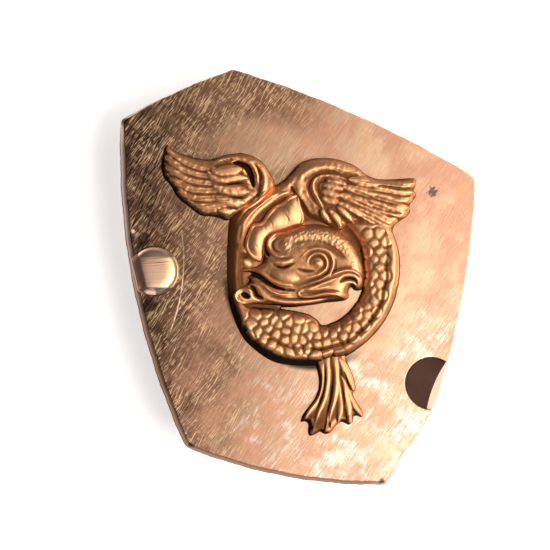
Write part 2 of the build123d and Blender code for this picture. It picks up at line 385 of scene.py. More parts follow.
def coil_patina_and_shade(x, y, depth, tone):
    """Painted shade on the left side, an even brown, and on the outer wall at the lower left; a brown on the
    outer wall at the lower right.
    """
    # painted shade: the left side and the lower-left wall face away from the light
    left = np.clip((-9.2 - x) / 1.2, 0, 1) * np.clip((y + 8) / 3, 0, 1)
    wall_right = np.clip(1.5 - depth, 0, 1) * np.clip((x - 1) / 3, 0, 1) * np.clip((-2 - y) / 3, 0, 1)
    low_wall_shade = np.clip(1.9 - depth, 0, 1) * np.clip((-0.6 * x - y - 8) / 4, 0, 1)
    return (tone - 0.08) * (1 - left) + left * np.clip(tone, 0.66, 0.95) + 0.55 * wall_right + 0.5 * low_wall_shade


coil = relief_piece("coil", COIL_OUTER, coil_shape, "serpent_coil", STEP * 1.15, patina_and_shade=coil_patina_and_shade)

# %% [markdown]
# ## The head
# The head is the highest relief. It is drawn the way a die-cutter would: one big dome, then
# the brow, lids, snout and lips as overlapping ridges, and last the mouth as a deep cut. The
# brow is pebbled with a fine punch.

# %% The head
HEAD_OUTLINE = smooth([
    (-10.8, -1.1), (-9.6, -0.5), (-8.4, -0.6), (-7.4, 0.2), (-7.2, 2), (-6.9, 3.3), (-6, 4.2),
    (-4.4, 4.6), (-2, 5.4), (0.8, 5.6), (3.4, 4.9), (5.4, 3.4), (6.9, 1.2), (7.6, -1),
    (7.7, -2.8), (7.1, -4), (6.2, -4.1), (5.6, -3.6), (5.2, -4.4), (5.4, -5), (4.6, -5.6),
    (2, -5.9), (-0.6, -6.3), (-3.4, -6.6), (-6, -6.5), (-8.2, -6.4), (-10, -6.6), (-11.3, -6),
    (-11.8, -5), (-11.3, -3.9), (-10, -3.4), (-9.4, -2.6), (-10.8, -2.1),
], closed=True)


def pebbles(x, y, lo, hi, count, size, lift, seed, where):
    """Small punched pebbles scattered over the spots that where() accepts."""
    rng = random.Random(seed)
    field = np.zeros(x.shape)
    placed = []
    while len(placed) < count:
        px, py = rng.uniform(lo[0], hi[0]), rng.uniform(lo[1], hi[1])
        if where(px, py) and all(math.hypot(px - qx, py - qy) > size * 1.25 for qx, qy in placed):
            placed.append((px, py))
        elif rng.random() < 0.002:
            break
    for px, py in placed:
        near = (np.abs(x - px) < size) & (np.abs(y - py) < size)
        u = np.hypot(x[near] - px, y[near] - py) / size
        field[near] = np.maximum(field[near], lift * np.clip(1 - u**2, 0, 1))
    return field


def on_brow(px, py):
    """A crescent over the eye, outside an ellipse round the lids."""
    return math.hypot((px - 0.3) / 5.7, (py + 2.6) / 5.3) > 1 and px > -4.2 and py > -1.4


def head_shape(x, y, depth):
    foot = wall(depth, 1.5, 1.1)
    field = foot + 0.45 * np.clip(1 - ((x - 1) / 8) ** 2 - ((y + 0.2) / 5.6) ** 2, 0, 1)
    field = draw(field, x, y, [
        # brow, and the smooth forehead below it
        ("ridge", 1.6, 0.4, [(-5, 3.2), (-3.2, 3.9), (-0.8, 4.4), (2, 4.1), (4.6, 2.6), (6.8, -0.4)]),
        ("ridge", 1.3, 0.35, [(-4.2, 0.6), (-2.4, 1.6), (-0.2, 2.1), (1.8, 1.6), (3.4, 0.4)]),
        ("cut", 0.24, -0.16, [(-4.6, 2), (-3, 2.7), (-0.8, 3.1), (1.6, 2.8), (3.6, 1.6), (5.2, -0.2)]),
        # curl of the nose, and the groove behind it
        ("ridge", 0.36, 0.6, [(-4, 4.4), (-5.6, 4), (-6.5, 2.8), (-6.3, 1.6), (-5.2, 0.8), (-3.9, 0.8)]),
        ("cut", 0.24, -0.4, [(-4.2, 3.8), (-5.3, 3.4), (-5.9, 2.5), (-5.5, 1.6), (-4.6, 1.3)]),
        ("ridge", 0.95, 0.4, [(-4.2, 2.5), (-3.9, 2.3)], "full"),
        ("carve", 0.26, 0.6, [(-6.7, 4), (-7.1, 2.9), (-7, 1.7), (-6.4, 0.7)]),
        # snout and nostril fold
        ("ridge", 1.4, 0.45, [(-6, -1.3), (-4.8, -1.9), (-3.4, -2.3), (-2, -2.5)]),
        ("ridge", 0.5, 0.35, [(-6.2, 0.2), (-5.2, -0.1), (-4, -0.1), (-2.8, 0.4)]),
        ("cut", 0.28, -0.6, [(-5.9, -0.3), (-5, -0.8), (-4.1, -0.85), (-2.7, -0.2)]),
        # the eye, and the lines that swirl from its lids down the cheek
        ("ridge", 0.7, 0.5, [(0.5, -0.2), (0.8, -0.2)], "full"),
        ("cut", 0.13, -0.25, [(0.3, 0), (0.8, 0.15), (1.1, -0.2), (0.8, -0.5)]),
        ("cut", 0.2, -0.4, [(-0.3, -0.8), (-0.5, 0), (0.1, 0.7), (1, 0.7), (1.6, 0), (1.5, -0.8),
            (0.5, -1.4)]),
        ("ridge", 0.26, 0.35, [(-0.9, -0.5), (-0.6, 0.5), (0.3, 1.15), (1.4, 0.95), (2, 0), (1.8, -1.1),
            (0.6, -1.9), (-1.2, -2.3)]),
        ("cut", 0.18, -0.32, [(-1.3, -0.1), (-0.6, 1.1), (0.6, 1.5), (1.8, 1.1), (2.4, 0), (2.1, -1.4),
            (0.8, -2.4), (-1.2, -2.8)]),
        ("ridge", 0.3, 0.35, [(-1.9, 0.3), (-0.8, 1.5), (0.8, 1.9), (2.3, 1.3), (2.9, 0), (2.5, -1.6),
            (0.9, -2.8), (-1.2, -3.3)]),
        ("cut", 0.2, -0.4, [(3.3, 0.2), (3.1, -1.2), (2, -2.4), (0.4, -3.2), (-1.8, -3.7)]),
        ("cut", 0.26, -0.5, [(-2.4, -1), (-1.2, -1.35), (0.2, -1.4)]),
        # upper lip, ending in a curl at the corner of the mouth
        ("ridge", 0.42, 0.65, [(-10.3, -1.3), (-9, -1.1), (-7.6, -1.6), (-6.2, -2.6), (-4.6, -3.3),
            (-2.8, -3.5)]),
        ("ridge", 0.45, 0.8, [(-2.6, -3.8), (0.2, -2.95), (2.7, -1.95), (4.4, -1.35), (5.8, -1.4),
            (6.9, -2.1), (7.2, -3.2)]),
        ("ridge", 0.3, 0.4, [(-2.4, -4.2), (-0.4, -3.8), (2, -3), (3.6, -2.3)]),
        # lower lip, and the jaw that springs from a small curl
        ("ridge", 0.4, 0.65, [(-9, -2.8), (-7.4, -3.3), (-6.2, -4.2), (-4.8, -4.75), (-3.2, -4.8)]),
        ("ridge", 0.36, 0.6, [(-1.2, -4.2), (-2.1, -4.5), (-1.8, -5), (-0.4, -5.1), (1.8, -4.7),
            (3.4, -4.8), (4.8, -5.3)]),
        ("ridge", 0.34, 0.45, [(-1.4, -4.2), (0.4, -4), (2.4, -3.6)]),
        ("cut", 0.2, -0.4, [(-1, -4.6), (0.6, -4.5), (2.4, -4.2), (4, -4.4)]),
        ("ridge", 0.45, 0.4, [(-7, -5.3), (-4.8, -5.9), (-2.4, -6), (0, -5.9), (2.2, -5.4)]),
        ("cut", 0.22, -0.4, [(-6.6, -5), (-4.6, -5.4), (-2.4, -5.5), (0.2, -5.4), (3, -5.1)]),
        ("ridge", 0.45, 0.7, [(-8.6, -4.6), (-9.4, -4), (-10.6, -4), (-11.3, -4.9), (-10.8, -5.9),
            (-9.6, -6.1)]),
        ("carve", 0.42, 0.3, [(-10.4, -4.7), (-9.9, -4.85), (-9.2, -5.2)]),
        ("cut", 0.62, -1.1, [(-9.3, -3.6), (-8.5, -4.1), (-8.1, -4.9), (-7.2, -5.5)]),
        # the mouth, deepest at the front
        ("carve", 0.5, 0.3, [(-10.3, -1.9), (-9.2, -1.8), (-7.9, -2.1), (-6.6, -3), (-5.4, -3.7),
            (-4, -4.1)], "last"),
        ("carve", 0.14, 1.1, [(-4.6, -4.05), (-2.6, -4.2)]),
        ("cut", 0.5, -0.8, [(3.8, -3), (4.8, -2.5), (6, -2.7), (6.5, -3.4)]),
    ])
    field += pebbles(x, y, (-4.4, -1.4), (7.4, 5.4), 760, 0.19, 0.15, 3, on_brow) * (depth > 0.3)
    field += grain(x, 0.2, 0.015, 2)
    field = np.where(depth > 0, np.clip(field, 0.1, 2.82), foot)
    return soften(field, 0.09)


def head_patina(x, y, depth, tone):
    """The pebbled brow was rubbed clean, and the forehead under it kept its brown."""
    brow = np.hypot((x - 0.3) / 5.7, (y + 2.6) / 5.3)
    clean = np.clip((brow - 1) / 0.08, 0, 1) * np.clip((x + 4.4) / 0.6, 0, 1) * np.clip((y + 1.4) / 0.6, 0, 1)
    return tone - 0.35 * clean + 0.35 * np.clip(1 - np.abs(brow - 0.9) / 0.12, 0, 1) * np.clip(y, 0, 1)


head = relief_piece("head", HEAD_OUTLINE, head_shape, "serpent_head", patina_and_shade=head_patina)

# %% [markdown]
# ## The neck frill
# A smooth fin with three lobes lies inside the coil, behind the head. It is lower than the
# coil and polished by the die, so it gets gentle domes with only a few engraved arcs.

# %% The neck frill
FRILL_OUTLINE = smooth([
    (-2.0, 9.9), (-3.4, 9.7), (-4.6, 8.7), (-5.5, 8.3), (-6.6, 7.2), (-7.2, 6.4), (-7.6, 5.9),
    (-8.9, 5.5), (-9.5, 4.4), (-9.9, 3.2), (-10, 2), (-9.5, 0.9), (-8.6, 0.1), (-7.4, -0.2), (-6, 0),
    (-4.8, 2.4), (-3, 4.2), (-1.4, 5.2), (-1.0, 6.6), (-1.5, 8.2),
], closed=True)


def frill_shape(x, y, depth):
    field = wall(depth, 1.6, 0.45)
    field = draw(field, x, y, [
        ("ridge", 1.5, 0.25, [(-3, 9.4), (-3.2, 7.6), (-3.2, 5.8)]),
        ("ridge", 1.7, 0.25, [(-5.6, 8), (-5.8, 6.4), (-5, 4.8)]),
        ("ridge", 1.5, 0.3, [(-8.4, 4.8), (-8, 3), (-7.4, 1)]),
        ("cut", 0.16, -0.22, [(-6.2, 8.3), (-4.8, 8.9), (-3.5, 8.5), (-2.7, 7.4), (-2.6, 6.4)]),
        *alike("cut", 0.15, -0.22, [(-5.9, 7.6), (-4.7, 8), (-3.8, 7.5), (-3.4, 6.6)], [(-4.6, 6.9),
            (-4, 6.7), (-3.6, 6), (-3.9, 5.3)]),
        ("cut", 0.15, -0.18, [(-7.7, 6), (-6.7, 6.1), (-6, 5.5), (-5.9, 4.7)]),
        ("cut", 0.15, -0.22, [(-7.9, 5.1), (-7.1, 5.1), (-6.8, 4.4)]),
        ("cut", 0.14, -0.14, [(-9, 3.4), (-8.1, 3.5), (-7.5, 2.9), (-7.6, 2.2)]),
        ("cut", 0.14, -0.2, [(-8.9, 2.3), (-8.3, 2.3), (-8, 1.7)]),
    ])
    field = np.where(depth_inside(HEAD_OUTLINE, x, y) > 0, 0.2, field)
    return soften(np.maximum(field, np.where(depth > 0, 0.1, -9)), 0.08) + np.where(depth < -0.1, -0.2, 0)


frill = relief_piece("frill", FRILL_OUTLINE, frill_shape, "neck_frill", polish=0.7,
                     patina_and_shade=lambda x, y, depth, tone: np.minimum(tone, 0.5))

# %% [markdown]
# ## The wings
# Each wing is an arm with short covert feathers on it and long flight feathers fanning out
# behind. Feathers are leaves laid one over the next, from the wing's far edge inwards, each
# with a cut line down its side, so that every edge catches the light.

# %% The left wing
LEFT_OUTLINE = smooth([
    (-21.1, 17), (-20.4, 16.4), (-19.5, 15.8), (-17.9, 15.3), (-16.4, 14.9), (-14.8, 14.8), (-13.4, 15.2),
    (-11.8, 15.6), (-10, 15.7), (-8.2, 15.1), (-6.9, 14), (-5.9, 12.4), (-5.4, 10.9), (-7, 9.4),
    (-9.4, 8), (-11.6, 6.5), (-12.4, 6), (-13.6, 6.4), (-14.6, 6.6), (-16, 6.7), (-17, 7.3),
    (-18, 8.1), (-19.2, 9), (-20, 10.1), (-20.6, 11.1), (-21.4, 12), (-21.85, 13.2), (-21.85, 14.6),
    (-21.5, 15.8),
], closed=True)


def left_wing_shape(x, y, depth):
    foot = wall(depth, 1.15, 0.75)
    field = foot + 0.3 * np.clip((x + 20) / 9, 0, 1) * (depth > 0)
    field = draw(field, x, y, [
        # flight feathers, from the lowest to the topmost
        ("leaf", 0.95, 0.3, [(-11.6, 6.9), (-13.4, 7.2), (-15.2, 7.3), (-17.2, 7.6)]),
        ("leaf", 0.95, 0.34, [(-11.8, 8.4), (-14, 8), (-16.4, 7.9), (-18.4, 8.4)]),
        ("leaf", 1.0, 0.38, [(-12.2, 9.4), (-14.8, 9.1), (-17.4, 9.2), (-19.8, 10)]),
        ("leaf", 1.0, 0.42, [(-12.6, 10.5), (-15.4, 10.2), (-18.4, 10.7), (-20.8, 11.9)]),
        ("leaf", 1.0, 0.46, [(-12.8, 11.6), (-15.8, 11.4), (-18.8, 12.2), (-21.4, 13.6)]),
        ("leaf", 0.95, 0.5, [(-13.2, 12.6), (-16.2, 12.5), (-19, 13.5), (-21.6, 15.2)]),
        ("leaf", 0.85, 0.54, [(-14, 13.5), (-16.6, 13.6), (-19.4, 14.7), (-21.5, 16.6)]),
        # quills
        *alike("cut", 0.16, -0.3, [(-13.4, 11.9), (-16.2, 11.9), (-18.8, 12.7), (-21, 14.2)],
            [(-13.4, 10.9), (-15.8, 10.8), (-18.4, 11.4), (-20.8, 12.7)], [(-13.2, 9.9), (-15.2, 9.6),
            (-17.8, 9.9), (-20, 10.9)], [(-13.6, 13.1), (-16.4, 13), (-19.2, 14.1), (-21.4, 15.9)],
            [(-12.8, 8.9), (-14.8, 8.5), (-17.2, 8.6), (-19, 9.2)]),
        # coverts
        ("leaf", 0.85, 0.62, [(-9.6, 8.4), (-11.2, 8.4), (-12.8, 8.8), (-14.2, 9.3)]),
        ("leaf", 0.95, 0.75, [(-9.2, 10), (-11, 10.2), (-13, 10.4), (-14.6, 10.9)]),
        ("leaf", 0.7, 0.85, [(-9.2, 12), (-11, 12.1), (-13, 11.7), (-14.6, 12.1), (-15.4, 13.2)]),
        ("leaf", 0.95, 0.95, [(-10.2, 13.4), (-12, 13.1), (-13.6, 12.9), (-14.8, 13.2)]),
        ("ridge", 0.5, 0.3, [(-12.2, 7), (-13, 7.1), (-13.9, 7.4)]),
        *alike("cut", 0.2, -0.4, [(-9, 11.2), (-11, 11.3), (-13, 11.1), (-14.8, 11.6)], [(-9.4, 9.2),
            (-11.4, 9.2), (-13.4, 9.7)]),
        # the hollow under the arm, and the arm itself
        ("carve", 0.5, 0.4, [(-11.6, 14.2), (-10.7, 14.2), (-9.5, 13.6), (-8.9, 12.2), (-8.6, 10.8)]),
        ("ridge", 0.95, 0.95, [(-7.2, 9.6), (-6.9, 11.2), (-7.2, 13), (-8.5, 14.4), (-10.6, 15),
            (-12.8, 15), (-14.6, 14.3)], "last"),
        ("ridge", 0.4, 0.5, [(-12.4, 14.4), (-10.6, 14.4), (-9, 14), (-8.2, 12.8), (-8, 11.2)]),
        # hair at the wing's root
        ("ridge", 0.4, 0.4, [(-11.4, 7), (-9.6, 7.9), (-8, 9), (-6.6, 10.6)]),
        ("cut", 0.26, -0.5, [(-10.8, 7.6), (-9.2, 8.6), (-8, 9.8)]),
    ])
    field += barbs(x, y, (-4, 9.6), 150, 0.075) * np.clip((-10.5 - x) / 3, 0, 1) + grain(x, 0.16, 0.035, 4)
    field = np.where(depth > 0, np.clip(field, 0.12, 2.22), foot)
    return soften(field, 0.085)


left_wing = relief_piece("wing_left", LEFT_OUTLINE, left_wing_shape, "left_wing")

# %% The right wing
RIGHT_OUTLINE = smooth([
    (-3.4, 9.6), (-5.2, 9.8), (-5.4, 10.9), (-4, 11.9), (-3, 13), (-1.9, 14.2), (-0.6, 14.8),
    (1, 15.05), (3, 15), (5, 14.5), (6.5, 13.8), (7.6, 12.9), (8.7, 12.3), (10, 12), (12.2, 12.1),
    (14.9, 12.2), (15.1, 11.2),
    (14.8, 10.5), (15.2, 9.8), (14.7, 9), (14.2, 8.3), (14.3, 7.4), (13.8, 6.7), (12.8, 6),
    (11.9, 5.2), (11.4, 3.4), (10.4, 3.2), (9.2, 4.6), (7.6, 5), (6.4, 5.6), (5, 5.2), (3.8, 4.4),
    (2.6, 5), (1.6, 5.6), (0.2, 6.2), (-1, 6.9), (-1.8, 8.4),
], closed=True)


def right_wing_shape(x, y, depth):
    foot = wall(depth, 1.2, 0.8)
    field = foot + 0.35 * np.clip(1 - ((x - 3) / 9) ** 2, 0, 1) * (depth > 0)
    field = draw(field, x, y, [
        # flight feathers, from the lowest to the topmost
        ("leaf", 0.8, 0.26, [(6.6, 6.9), (8.6, 5.9), (10.4, 5), (11.2, 3.8)]),
        ("leaf", 0.85, 0.3, [(6.4, 7.9), (8.8, 6.9), (10.8, 6.1), (12.4, 5.9)]),
        ("leaf", 0.85, 0.34, [(6.2, 8.8), (8.8, 8), (11.4, 7), (13.8, 6.8)]),
        ("leaf", 0.85, 0.38, [(6, 9.6), (8.8, 9), (11.6, 8.1), (14.2, 7.8)]),
        ("leaf", 0.85, 0.42, [(6, 10.4), (9, 10), (12, 9.1), (14.8, 9)]),
        ("leaf", 0.85, 0.46, [(6, 11), (9.2, 10.8), (12.2, 10.1), (15, 10.1)]),
        ("leaf", 0.8, 0.5, [(6.4, 11.8), (9.4, 11.5), (12.4, 11.1), (15.1, 11.5)]),
        *alike("cut", 0.15, -0.28, [(8, 10.4), (10.8, 9.9), (13.4, 9.5), (15, 9.5)], [(8, 11.2),
            (10.8, 10.9), (13.4, 10.7), (15, 10.7)], [(7.6, 9.5), (10.2, 8.7), (12.8, 8.1), (14.2, 8.1)],
            [(7.4, 8.5), (9.8, 7.6), (12.2, 7), (13.8, 7)]),
        # middle coverts run down and to the right
        ("leaf", 0.85, 0.45, [(3.6, 8.6), (5.8, 7.4), (7.6, 6.6)]),
        ("leaf", 0.9, 0.51, [(3.6, 9.8), (6.4, 8.9), (8.6, 8)]),
        ("leaf", 0.85, 0.57, [(4.2, 10.9), (7, 10.2), (9.2, 9.6)]),
        ("leaf", 0.75, 0.63, [(5, 12), (7.6, 11.5), (9.4, 11.1)]),
        ("leaf", 0.6, 0.6, [(2.2, 7.6), (3.4, 6.2), (4.2, 4.8)]),
        ("leaf", 0.6, 0.66, [(3.4, 8), (4.8, 6.8), (5.8, 5.7)]),
        ("leaf", 0.55, 0.6, [(1.2, 7.6), (1.6, 6.6), (2.4, 5.6)]),
        *alike("cut", 0.2, -0.5, [(3.1, 7.7), (4.3, 6.4), (5, 5.2)], [(4.4, 7.9), (5.8, 6.7), (7, 6)]),
        *alike("cut", 0.13, -0.2, [(5, 9.3), (7, 8.5), (8.8, 7.6)], [(5.4, 10.4), (7.6, 9.7), (9.6, 8.9)],
            [(9, 7.4), (10.8, 6.7), (12.6, 6.4)], [(9.6, 11.2), (12, 10.6), (14.8, 10.6)]),
        # small coverts over the hand
        ("leaf", 0.7, 0.4, [(1.2, 9.2), (2.4, 9), (3.8, 8.5)]),
        ("leaf", 0.7, 0.46, [(1.2, 10.2), (2.6, 9.9), (4, 9.5)]),
        ("leaf", 0.7, 0.52, [(1.4, 11.1), (2.8, 10.9), (4.4, 10.4)]),
        ("leaf", 0.6, 0.58, [(1.8, 11.9), (3.2, 11.7), (4.8, 11.2)]),
        # arm: an outer ridge over the shoulder, an inner one, and a cut between
        ("ridge", 1.5, 0.45, [(-6.2, 9.2), (-4.4, 10.5), (-2.8, 12.2), (-0.8, 13.6), (2, 14.2), (5, 13.6),
            (8.6, 12)]),
        ("ridge", 0.9, 0.3, [(-1.2, 7.4), (-1.9, 9.2), (-2, 10.8), (-1.4, 12.4), (0.4, 13.5), (3, 13.7),
            (5.4, 13)], "last"),
        ("cut", 0.34, -0.4, [(1.2, 7.6), (-0.1, 9.2), (-0.7, 10.8), (-0.2, 12.1), (1.2, 12.9), (3, 13),
            (4.8, 12.2)]),
        ("ridge", 0.36, 0.5, [(1.8, 7), (0.9, 8.8), (0.2, 10), (0, 11.2), (0.6, 12.2), (2.2, 12.5),
            (3.8, 12.3), (5.4, 11.6)]),
        ("cut", 0.24, -0.4, [(1.2, 8.6), (0.8, 10), (0.8, 11.3), (2.2, 12), (4, 11.8)]),
        ("carve", 0.42, 0.3, [(-3.1, 10.8), (-2.7, 9.6), (-1.8, 8.4), (-1, 7.2), (-0.6, 6)]),
    ])
    field += barbs(x, y, (-3, 12.6), 150, 0.065) * np.clip((x - 4) / 3, 0, 1) + grain(x, 0.16, 0.032, 5)
    field = np.where(depth > 0, np.clip(field, 0.12, 2.22), foot)
    return soften(field, 0.085)


right_wing = relief_piece("wing_right", RIGHT_OUTLINE, right_wing_shape, "right_wing",
                          patina_and_shade=lambda x, y, depth, tone: np.minimum(tone + 0.1, 1.05))

# %% [markdown]
# ## The tail fin
# The fin hangs below the coil and is drawn as a bunch of ribs that end in small ragged lobes.

# %% The tail fin
TAIL_OUTLINE = smooth([
    (0.3, -13.6), (0.7, -15.6), (1, -17), (0.9, -18.5), (0.3, -20), (-0.7, -21.2), (-1.4, -22.2),
    (-1.7, -23.2), (-1.1, -23.1), (-0.6, -23.5), (-0.6, -24.8), (-0.2, -25.2), (0.7, -24.8),
    (1.2, -24.6), (1.7, -24.9), (2.5, -24.8), (3, -24.3), (3.5, -23.7), (4.1, -23.2),
    (4.7, -23.3), (5.3, -23.6), (5.9, -23.2), (6, -22.4), (6.6, -22.3), (7.3, -22.5),
    (7.3, -21.6), (6.7, -20.7), (6, -19.6), (5.9, -18.9), (6.3, -18.5), (6.1, -17.1),
    (5.6, -15.7), (5.1, -14.5), (4.6, -13.2), (2.4, -12.8),
], closed=True)


def tail_shape(x, y, depth):
    foot = wall(depth, 0.85, 0.6)
    field = draw(foot, x, y, [
        ("leaf", 0.62, 0.3, [(1.2, -14), (1.4, -17), (1, -19), (-0.2, -21), (-1.2, -22.8)], "last"),
        ("leaf", 0.6, 0.4, [(2, -13.6), (2.1, -17), (1.6, -20), (0.8, -22), (0, -24.6)], "last"),
        ("leaf", 0.7, 0.55, [(3.2, -13.6), (3.4, -17), (3.1, -20), (2.4, -22.4), (1.8, -24.6)], "last"),
        ("leaf", 0.6, 0.42, [(3.6, -16.6), (4, -19), (4.1, -21.2), (3.7, -23.2)]),
        ("leaf", 0.62, 0.46, [(4, -16.4), (4.7, -18.8), (5.2, -21), (5.3, -23.2)]),
        ("leaf", 0.6, 0.5, [(4.3, -17), (5.3, -19), (6.1, -20.8), (7, -22.2)]),
        ("leaf", 0.7, 0.62, [(3.7, -13.8), (4.6, -15.4), (5.3, -17), (5.9, -18.6)]),
        ("cut", 0.26, -0.6, [(2.8, -14.4), (2.95, -17), (2.6, -20), (1.8, -22.6)]),
        *alike("cut", 0.22, -0.5, [(1.7, -14.6), (1.75, -17.2), (1.3, -19.6), (0.4, -21.6)],
            [(3.8, -15.4), (4.2, -18), (4.5, -20.6), (4.5, -22.6)]),
        *alike("cut", 0.2, -0.4, [(4.4, -15.8), (5.2, -18), (6, -19.8)], [(2.5, -21.4), (2.3, -22.8),
            (2.6, -24.4)]),
        ("ridge", 0.5, 0.35, [(-0.1, -22.9), (0, -23.6)], "full"),
        ("ridge", 0.5, 0.3, [(5.3, -22.6), (5.4, -22.9)], "full"),
    ])
    field += grain(x, 0.2, 0.015, 6)
    field = np.where(depth > 0, np.clip(field, 0.1, 1.6), foot)
    return soften(field, 0.085)


def tail_patina(x, y, depth, tone):
    """The lobes at the lower left stayed dark."""
    return tone + 0.6 * np.clip((-21 - y) / 2, 0, 1) * np.clip((3.4 - x) / 2, 0, 1)


tail = relief_piece("tail", TAIL_OUTLINE, tail_shape, "tail_fin", patina_and_shade=tail_patina)

# %% [markdown]
# ## The flan
# The flan was sheared from sheet by hand, so its sides waver a little and its edges are rolled
# over, most of all on the left and at the bottom. Its outline is drawn once as bowed sides.
# The block is then built ring by ring: up the side, round the rolled edge and on to the face,
# with bridge_loops joining each ring to the one before.
# The blind socket needs a ledge of its own, so the rings break there on the way up.

# %% The flan
LEFT_SHOULDER, PEAK, RIGHT_SHOULDER = (-27.85, 20.65), (-11.5, 28.1), (24.05, 12.45)
KNEE, HEEL, TOE = (17.7, -21.6), (10.8, -32.4), (-18.35, -26.85)
SOCKET, SOCKET_RADIUS, SOCKET_FLOOR = (17.32, -17.59), 3.8, 0.7
SOCKET_ROLL = 0.12             # how far the socket's rim is rolled over
BACK = 0.02                    # the back is a hair in, so that the braze round the lugs shows on it


def bowed(a, b, bow, count):
    """Points on an arc from a towards b that bows outwards by bow; b itself is left out."""
    a, b = np.array(a, float), np.array(b, float)
    t = np.linspace(0, 1, count, endpoint=False)[:, None]
    way = (b - a) / np.hypot(*(b - a))
    out = np.array([-way[1], way[0]])
    return a + t * (b - a) + out * bow * 4 * t * (1 - t)


def rounded_corners(loop, passes):
    """Softens a closed loop's corners by averaging each point with its neighbours."""
    for _ in range(passes):
        loop = (np.roll(loop, 1, 0) + 2 * loop + np.roll(loop, -1, 0)) / 4
    return loop


def flan_outline():
    sides = [
        (LEFT_SHOULDER, PEAK, 0.4, 60), (PEAK, RIGHT_SHOULDER, 1.3, 120),
        (RIGHT_SHOULDER, KNEE, 1.25, 110), (KNEE, HEEL, 0.1, 44), (HEEL, TOE, 1.5, 96),
        (TOE, LEFT_SHOULDER, 2.9, 150),
    ]
    loop = rounded_corners(np.vstack([bowed(*side) for side in sides]), 2)
    near = np.exp(-0.5 * (np.hypot(*(loop - RIGHT_SHOULDER).T) / 2.0) ** 2)[:, None]
    loop = loop * (1 - near) + rounded_corners(loop, 5) * near
    along = np.cumsum(np.hypot(*np.diff(loop, axis=0, prepend=loop[-1:]).T))
    waver = 0.035 * np.sin(along * 0.9) + 0.02 * np.sin(along * 2.3 + 1) + 0.015 * np.sin(along * 5.1)
    normal = np.roll(loop, 1, 0) - np.roll(loop, -1, 0)
    normal = np.stack([normal[:, 1], -normal[:, 0]], 1) / np.hypot(*normal.T)[:, None]
    loop = loop - normal * (0.07 + waver)[:, None]
    return loop, -normal


def roll_width(loop):
    """How far the rolled edge reaches on to the face: widest at the left and the bottom."""
    left = np.clip((-8 - loop[:, 0]) / 14, 0, 1) * np.clip((24 - loop[:, 1]) / 8, 0, 1)
    bottom = np.clip((-24 - loop[:, 1]) / 4, 0, 1)
    return 0.2 + 0.65 * np.maximum(left, 0.6 * bottom)


def make_flan():
    loop, inward = flan_outline()
    cut = np.where(np.hypot(*(loop - SOCKET).T) < SOCKET_RADIUS)[0]
    loop, inward = (np.roll(a, -cut[-1] - 1, 0) for a in (loop, inward))
    keep = len(loop) - len(cut)
    bm = bmesh.new()

    def corners(points, heights):
        """Vertices at the points, at one height or a height each."""
        heights = np.broadcast_to(heights, len(points))
        return [bm.verts.new((px * MM, py * MM, h * MM)) for (px, py), h in zip(points, heights)]

    def closed(verts):
        """The edges of the closed loop through the vertices, made where they are missing."""
        return [bm.edges.get(pair) or bm.edges.new(pair) for pair in zip(verts, verts[1:] + verts[:1])]

    back = corners(loop, BACK)
    middle = corners(loop, SOCKET_FLOOR)
    bmesh.ops.contextual_create(bm, geom=closed(back))
    bmesh.ops.bridge_loops(bm, edges=closed(back) + closed(middle))
    # the socket's wall runs round the side that lies inside the flan
    start, end = (math.atan2(*(loop[k] - SOCKET)[::-1]) for k in (keep - 1, 0))
    turn = (end - start) % math.tau
    turn = turn if math.cos(start + turn / 2) < 0 else turn - math.tau
    angles = start + turn * np.linspace(0, 1, 42)[1:-1]
    arc = SOCKET + SOCKET_RADIUS * np.stack([np.cos(angles), np.sin(angles)], 1)
    arc_low = corners(arc, SOCKET_FLOOR)
    bmesh.ops.contextual_create(bm, geom=closed(middle[keep - 1:] + middle[:1] + arc_low[::-1]))
    width = roll_width(loop)[:keep]
    drop = np.minimum(width * 1.6, FACE - SOCKET_FLOOR)
    below = closed(middle[:keep] + arc_low)
    for share in np.linspace(0, 1, 6):
        rise, lean = math.sin(share * math.pi / 2), 1 - math.cos(share * math.pi / 2)
        outer = loop[:keep] + inward[:keep] * (width * (share * 0.8 + 0.2 * lean))[:, None]
        rim = arc + (arc - SOCKET) / SOCKET_RADIUS * SOCKET_ROLL * lean
        above = corners(outer, FACE - drop * (1 - rise * 0.4 - share * 0.6))
        above += corners(rim, FACE - SOCKET_ROLL * (1 - rise))
        bmesh.ops.bridge_loops(bm, edges=below + closed(above))
        below = closed(above)
    bmesh.ops.contextual_create(bm, geom=below)
    bmesh.ops.recalc_face_normals(bm, faces=bm.faces)
    return finish_piece("flan", bm, "flan_plate")


flan = make_flan()
for face in flan.data.polygons:
    face.use_smooth = len(face.vertices) == 4

# %% [markdown]
# ## The register stud
# A headed stud stands out of the left edge. Its top was filed level from side to side, and the
# file rocked a little, which left a slanting facet above and one below. The side towards the
# flan's edge was filed away at a slope. It is a low relief too, so the same tools make it.

# %% The register stud
STUD, STUD_RADIUS = (-22.92, -1.38), 3.62
TRIM, SLANT = -26.4, 0.24      # where the edge trims the stud, and how that line leans


def stud_outline():
    turn = np.linspace(0, math.tau, 140, endpoint=False)
    loop = np.array(STUD) + STUD_RADIUS * np.stack([np.cos(turn), np.sin(turn)], 1)
    loop[:, 0] = np.maximum(loop[:, 0], TRIM + (0.7 - loop[:, 1]).clip(0) * SLANT)
    return loop


def stud_shape(x, y, depth):
    above, below = (y - STUD[1] - 1.95).clip(0), (STUD[1] - 2.3 - y).clip(0)
    top = 0.84 - 0.1 * above - 0.24 * below
    from_edge = x - (TRIM + (0.7 - y) * SLANT)
    top = np.minimum(top, 0.42 + 0.33 * from_edge)
    return soften(np.where(depth > 0, np.minimum(top, 6 * depth), 3 * depth), 0.05)


stud = relief_piece("stud", stud_outline(), stud_shape, "register_stud")
